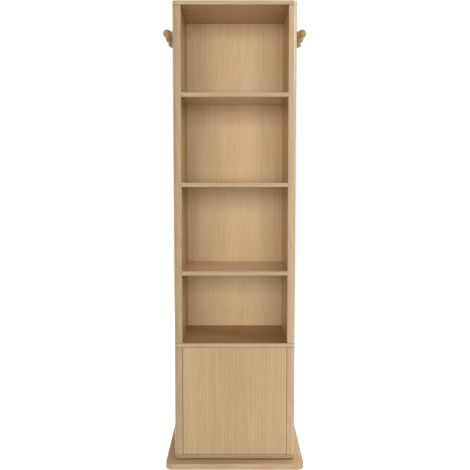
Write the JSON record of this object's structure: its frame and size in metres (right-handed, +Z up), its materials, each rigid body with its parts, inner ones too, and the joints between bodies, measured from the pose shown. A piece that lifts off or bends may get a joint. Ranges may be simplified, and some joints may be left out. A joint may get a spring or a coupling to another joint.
{
  "type": "revolving wardrobe cabinet",
  "caption": "Tall oak cabinet that revolves on a ball bearing over a flat base, with open shelves, a push-open cupboard below, coat pegs on both sides and a mirror behind.",
  "frame": {"origin": "on the floor under the turning axis, at the centre of the base plate", "axes": "+Z up along the turning axis; the shelves face -Y and the mirror +Y; the cabinet's left side is at -X"},
  "size_m": [0.533, 0.488, 1.7195],
  "materials": {
    "oak_board": "satin",
    "oak_peg": "satin",
    "beech_dowel": "matte",
    "zinc_steel": "satin",
    "cam_zinc": "matte",
    "bearing_steel": "satin",
    "polished_steel": "polished",
    "nylon": "matte",
    "rubber_pad": "matte",
    "mirror": "polished",
    "foam_tape": "matte",
    "latch_plastic": "matte",
    "magnet": "satin"
  },
  "bodies": {
    "base": {"base_plate": "oak_board", "base_pads": "rubber_pad", "bearing_lower_plate": "bearing_steel", "bearing_lower_screws": "zinc_steel"},
    "ball_ring": {"ball_cage": "nylon", "bearing_balls": "polished_steel"},
    "cabinet": {"bearing_upper_plate": "bearing_steel", "bearing_upper_screws": "zinc_steel", "bottom_board": "oak_board", "lower_side_left": "oak_board", "lower_side_right": "oak_board", "deck_board": "oak_board", "upper_side_left": "oak_board", "upper_side_right": "oak_board", "top_board": "oak_board", "shelf_back_panel": "oak_board", "back_panel_screws": "zinc_steel", "cupboard_back_panel": "oak_board", "mirror_backing": "oak_board", "mirror_tape": "foam_tape", "mirror_glass": "mirror", "door_pivot_pins": "zinc_steel", "latch_body": "latch_plastic", "latch_screws": "zinc_steel", "latch_spring": "zinc_steel", "lower_shelf": "oak_board", "lower_shelf_dowels": "beech_dowel", "middle_shelf": "oak_board", "middle_shelf_dowels": "beech_dowel", "upper_shelf": "oak_board", "upper_shelf_dowels": "beech_dowel", "bottom_board_dowels": "beech_dowel", "bottom_board_cams": "cam_zinc", "bottom_board_cam_bolts": "zinc_steel", "lower_deck_dowels": "beech_dowel", "lower_deck_cams": "cam_zinc", "lower_deck_cam_bolts": "zinc_steel", "upper_deck_dowels": "beech_dowel", "upper_deck_cams": "cam_zinc", "upper_deck_cam_bolts": "zinc_steel", "top_board_dowels": "beech_dowel", "top_board_cams": "cam_zinc", "top_board_cam_bolts": "zinc_steel", "left_peg_front": "oak_peg", "left_peg_middle": "oak_peg", "left_peg_rear": "oak_peg", "left_peg_studs": "zinc_steel", "right_peg_front": "oak_peg", "right_peg_middle": "oak_peg", "right_peg_rear": "oak_peg", "right_peg_studs": "zinc_steel"},
    "door": {"door_panel": "oak_board", "door_pivot_bushes": "nylon", "latch_strike": "zinc_steel", "strike_screw": "zinc_steel"},
    "plunger": {"latch_plunger": "latch_plastic", "plunger_magnet": "magnet"}
  },
  "joints": [
    {"name": "cabinet_turn", "type": "hinge", "parent": "base", "child": "cabinet", "pos_m": [0, 0, 0.02235], "axis": [0, 0, 1], "continuous": true},
    {"name": "ring_roll", "type": "hinge", "parent": "base", "child": "ball_ring", "pos_m": [0, 0, 0.02235], "axis": [0, 0, 1], "continuous": true},
    {"name": "door_swing", "type": "hinge", "parent": "cabinet", "child": "door", "pos_m": [-0.1641, -0.1925, 0.0435], "axis": [0, 0, -1], "range_deg": [0, 100]},
    {"name": "latch_press", "type": "slide", "parent": "cabinet", "child": "plunger", "axis": [0, 1, 0], "range_m": [0, 0.003], "stiffness_N_per_m": 300, "springref_m": -0.004, "deforming": ["latch_spring"]}
  ],
  "couplings": [
    {"joint": "ring_roll", "follows": "cabinet_turn", "ratio": 0.5}
  ]
}
